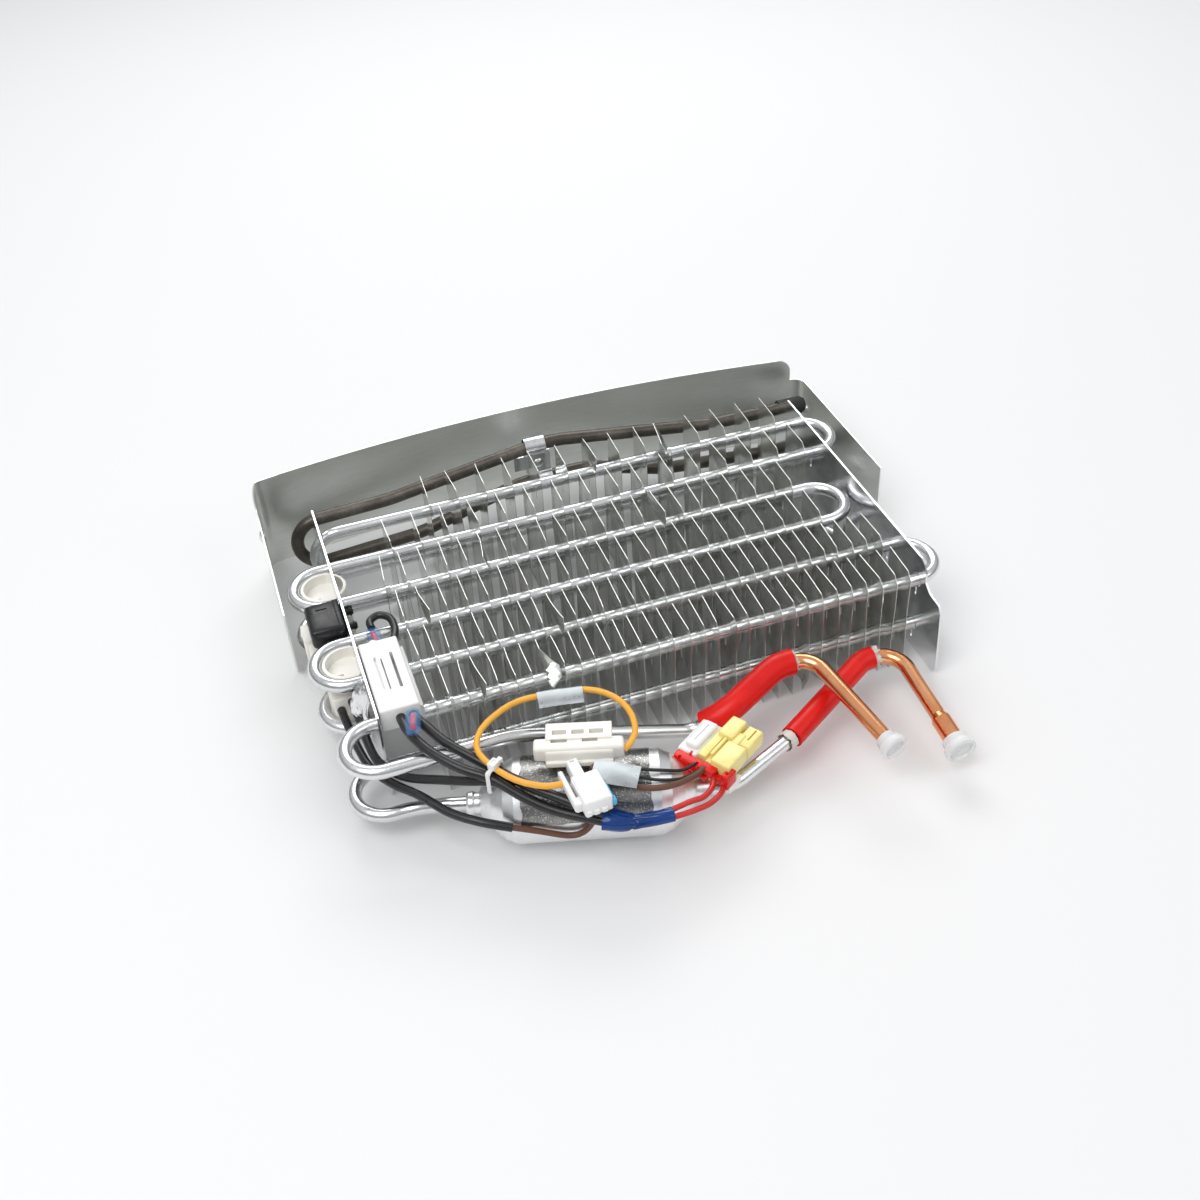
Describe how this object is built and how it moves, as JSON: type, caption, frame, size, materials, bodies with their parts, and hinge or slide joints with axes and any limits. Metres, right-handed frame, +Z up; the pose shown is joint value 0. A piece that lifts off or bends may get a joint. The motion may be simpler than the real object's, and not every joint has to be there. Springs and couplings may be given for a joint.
{
  "type": "refrigerator evaporator coil",
  "caption": "Refrigerator evaporator coil: serpentine aluminium tube with plate fins, defrost heater, heat shield, accumulator, capped copper stubs and wiring harness.",
  "frame": {"origin": "on the floor at the middle of the coil assembly, measured without the loose wires and what is on them", "axes": "+X to the right along the tube rows, +Y back to the heat shield, +Z up from the floor that the fins and plates stand on"},
  "size_m": [0.3496, 0.3223, 0.0615],
  "materials": {
    "tube_aluminium": "bright drawn",
    "fin_aluminium": "bright rolled sheet",
    "plate_aluminium": "bright rolled sheet",
    "shield_aluminium": "matte rolled sheet",
    "rivet_metal": "satin",
    "heater_sheath": "dull dark oxide",
    "accumulator_aluminium": "bright spun",
    "grey_foil": "dull foil",
    "copper": "bright drawn copper",
    "red_shrink": "satin shrink tube",
    "clear_plastic": "cloudy translucent",
    "pale_plastic": "dull",
    "ivory_plastic": "moulded",
    "white_plastic": "moulded",
    "yellow_plastic": "moulded, slightly translucent",
    "red_plastic": "moulded",
    "black_plastic": "moulded",
    "black_rubber": "matte",
    "black_sleeving": "satin sleeve",
    "blue_shrink": "glossy shrink tube",
    "blue_clear_plastic": "tinted translucent",
    "label_film": "silver film, bare",
    "brown_insulation": "satin",
    "black_insulation": "satin",
    "orange_insulation": "satin",
    "red_insulation": "satin"
  },
  "bodies": {
    "root": {"coil_tube": "tube_aluminium", "fins_row_a": "fin_aluminium", "fins_row_b": "fin_aluminium", "fins_row_c": "fin_aluminium", "fins_row_d": "fin_aluminium", "fins_row_e": "fin_aluminium", "fins_row_f": "fin_aluminium", "left_end_plate": "plate_aluminium", "right_end_plate": "plate_aluminium", "heat_shield": "shield_aluminium", "shield_rivets": "rivet_metal", "heater_tube": "heater_sheath", "heater_strap": "plate_aluminium", "strap_rivet": "rivet_metal", "heater_boots": "black_rubber", "bend_holder": "ivory_plastic", "sensor_clip": "black_plastic", "fuse_box": "white_plastic", "accumulator": "accumulator_aluminium", "foil_patch": "grey_foil", "outlet_tube": "tube_aluminium", "pale_collar": "pale_plastic", "red_sleeve_1": "red_shrink", "red_sleeve_2": "red_shrink", "copper_tube_1": "copper", "copper_tube_2": "copper", "end_cap_1": "clear_plastic", "end_cap_2": "clear_plastic", "fuse_crimps": "blue_clear_plastic", "ivory_connector": "ivory_plastic", "small_connector": "white_plastic", "white_plug": "white_plastic", "yellow_socket": "yellow_plastic", "red_locks": "red_plastic", "cable_tie": "white_plastic", "blue_shrink": "blue_shrink", "label_sleeve": "label_film", "flag_label": "label_film", "black_sleeve_1": "black_sleeving", "black_sleeve_2": "black_sleeving", "heater_sleeve_1": "black_sleeving", "heater_sleeve_2": "black_sleeving", "brown_wire_1": "brown_insulation", "brown_wire_2": "brown_insulation", "black_wire_1": "black_insulation", "black_wire_2": "black_insulation", "orange_wire": "orange_insulation", "red_wire_1": "red_insulation", "red_wire_2": "red_insulation", "fuse_lead": "black_sleeving"}
  },
  "joints": []
}
